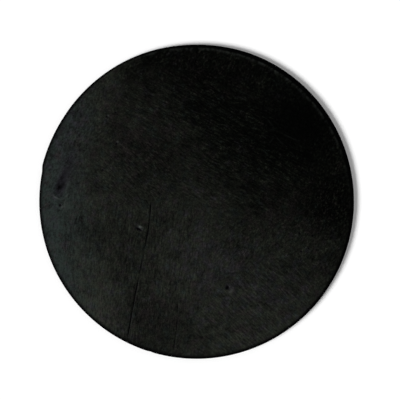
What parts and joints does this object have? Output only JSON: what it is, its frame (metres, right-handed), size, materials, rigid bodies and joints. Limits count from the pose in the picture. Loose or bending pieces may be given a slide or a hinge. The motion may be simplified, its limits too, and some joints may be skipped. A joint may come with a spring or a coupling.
{
  "type": "flexible magnet disc",
  "caption": "Thin flat disc die-cut from flexible rubber-bonded magnet sheet, with a rolled upper rim and worn upper face; clings to steel by either face.",
  "frame": {"origin": "centre of the flat underside", "axes": "+Z along the disc's axis, out of the worn upper face; +Y near the direction in which the sheet was rolled"},
  "size_m": [0.0762, 0.0762, 0.0015],
  "materials": {
    "rubber_magnet": "worn matt, calendered"
  },
  "bodies": {
    "root": {"magnet_disc": "rubber_magnet"}
  },
  "joints": []
}
